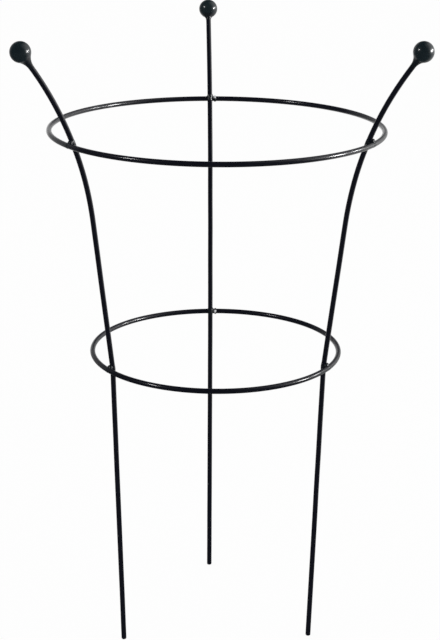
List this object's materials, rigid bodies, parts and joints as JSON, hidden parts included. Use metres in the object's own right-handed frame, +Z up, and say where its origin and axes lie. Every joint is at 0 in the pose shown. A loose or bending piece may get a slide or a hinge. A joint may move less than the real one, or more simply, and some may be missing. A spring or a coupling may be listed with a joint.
{
  "type": "grow through plant support",
  "caption": "Tall wire plant support: bent steel legs with ball tops, standing inside a wide top ring and a smaller lower ring that plants grow up through.",
  "frame": {"origin": "on the ground, in the middle of the support's outer box; the axis of the two rings stands 32.5 mm from it toward -Y", "axes": "+Z up, parallel to the axis of the rings; +Y toward the back leg; the support is the same on both sides of the YZ plane, but for its seam welds"},
  "size_m": [0.4674, 0.471, 0.767],
  "materials": {
    "wire_coating": "glossy blue-black enamel over steel wire",
    "ball_coating": "glossy green-black enamel over steel balls",
    "weld_coating": "glossy black enamel, a little wavy over the weld metal"
  },
  "bodies": {
    "root": {"left_front_leg": "wire_coating", "right_front_leg": "wire_coating", "back_leg": "wire_coating", "top_ring": "wire_coating", "lower_ring": "wire_coating", "left_front_ball": "ball_coating", "right_front_ball": "ball_coating", "back_ball": "ball_coating", "left_front_ball_weld": "weld_coating", "right_front_ball_weld": "weld_coating", "back_ball_weld": "weld_coating", "top_ring_seam_weld": "weld_coating", "lower_ring_seam_weld": "weld_coating", "left_front_top_ring_weld": "weld_coating", "left_front_lower_ring_weld": "weld_coating", "right_front_top_ring_weld": "weld_coating", "right_front_lower_ring_weld": "weld_coating", "back_top_ring_weld": "weld_coating", "back_lower_ring_weld": "weld_coating"}
  },
  "joints": []
}
